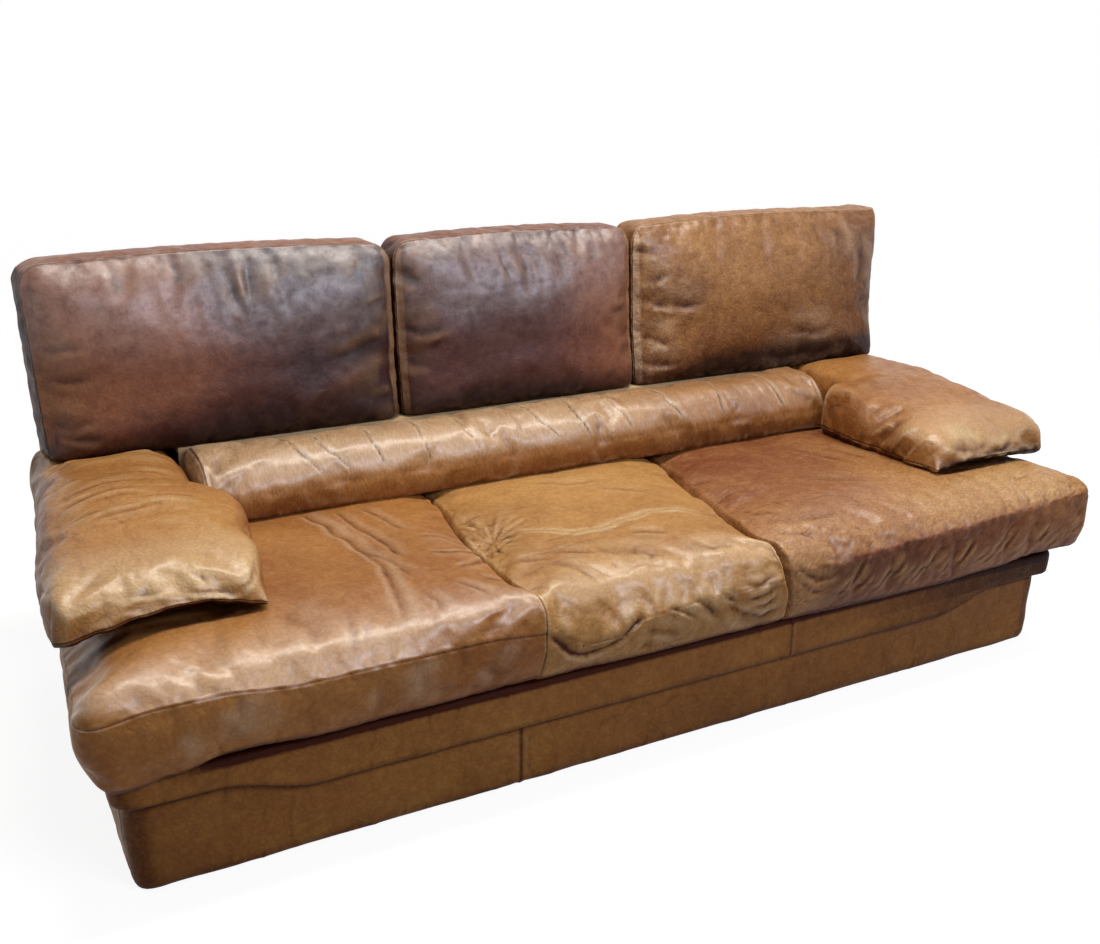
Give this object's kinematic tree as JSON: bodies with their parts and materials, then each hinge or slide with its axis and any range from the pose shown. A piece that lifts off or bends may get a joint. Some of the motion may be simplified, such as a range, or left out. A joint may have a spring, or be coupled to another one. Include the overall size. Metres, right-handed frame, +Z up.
{
  "type": "worn leather sofa",
  "caption": "Low three-seat sofa in worn tan and brown leather, with loose seat, back and wedge arm cushions, a long lumbar roll, a curved apron band and a tapered plinth base.",
  "frame": {"origin": "on the floor under the middle of the sofa's outline", "axes": "+X to the right as seen from in front, +Y from the seat's front to its back, +Z up"},
  "size_m": [2.149, 0.925, 0.9196],
  "materials": {
    "beech": "planed, unfinished",
    "birch_plywood": "sanded, unfinished",
    "hardboard": "smooth one side",
    "elastic_webbing": "woven rubber and polyester",
    "black_cloth": "spunbonded cloth",
    "glide_plastic": "moulded",
    "plinth_leather": "worn, mottled olive brown",
    "apron_leather": "worn, olive tan",
    "seat_leather": "worn, glossy on the edges, creased",
    "arm_leather": "worn, creased",
    "roll_leather": "worn, glossy, creased",
    "dark_back_leather": "worn, darkened, blue-grey sheen",
    "tan_back_leather": "worn, golden tan, creased",
    "outside_leather": "little worn"
  },
  "bodies": {
    "root": {"apron_front": "apron_leather", "apron_left": "apron_leather", "apron_right": "apron_leather", "arm_cushion_left": "arm_leather", "arm_cushion_right": "arm_leather", "back_bottom_rail": "beech", "back_cushion_left": "dark_back_leather", "back_cushion_middle": "dark_back_leather", "back_cushion_right": "tan_back_leather", "back_post_inner_left": "beech", "back_post_inner_right": "beech", "back_post_outer_left": "beech", "back_post_outer_right": "beech", "back_support_panel": "hardboard", "back_top_rail": "beech", "back_wing_left": "outside_leather", "back_wing_right": "outside_leather", "cross_strap_back": "elastic_webbing", "cross_strap_front": "elastic_webbing", "deck_cloth": "black_cloth", "dust_cloth": "black_cloth", "glide_back_left": "glide_plastic", "glide_back_middle": "glide_plastic", "glide_back_right": "glide_plastic", "glide_front_left": "glide_plastic", "glide_front_middle": "glide_plastic", "glide_front_right": "glide_plastic", "lumbar_board": "birch_plywood", "lumbar_roll": "roll_leather", "lumbar_shelf": "birch_plywood", "outside_back": "outside_leather", "plinth_back_board": "beech", "plinth_cover_back": "plinth_leather", "plinth_cover_front": "plinth_leather", "plinth_cover_left": "plinth_leather", "plinth_cover_right": "plinth_leather", "plinth_cross_board_left": "beech", "plinth_cross_board_right": "beech", "plinth_end_board_left": "beech", "plinth_end_board_right": "beech", "plinth_front_board": "beech", "seat_cross_rail_left": "beech", "seat_cross_rail_right": "beech", "seat_cushion_left": "seat_leather", "seat_cushion_middle": "seat_leather", "seat_cushion_right": "seat_leather", "seat_end_rail_left": "beech", "seat_end_rail_right": "beech", "seat_front_rail": "beech", "seat_rear_rail": "beech", "seat_strap_1": "elastic_webbing", "seat_strap_2": "elastic_webbing", "seat_strap_3": "elastic_webbing", "seat_strap_4": "elastic_webbing", "seat_strap_5": "elastic_webbing", "seat_strap_6": "elastic_webbing", "seat_strap_7": "elastic_webbing", "seat_strap_8": "elastic_webbing", "seat_strap_9": "elastic_webbing"}
  },
  "joints": []
}
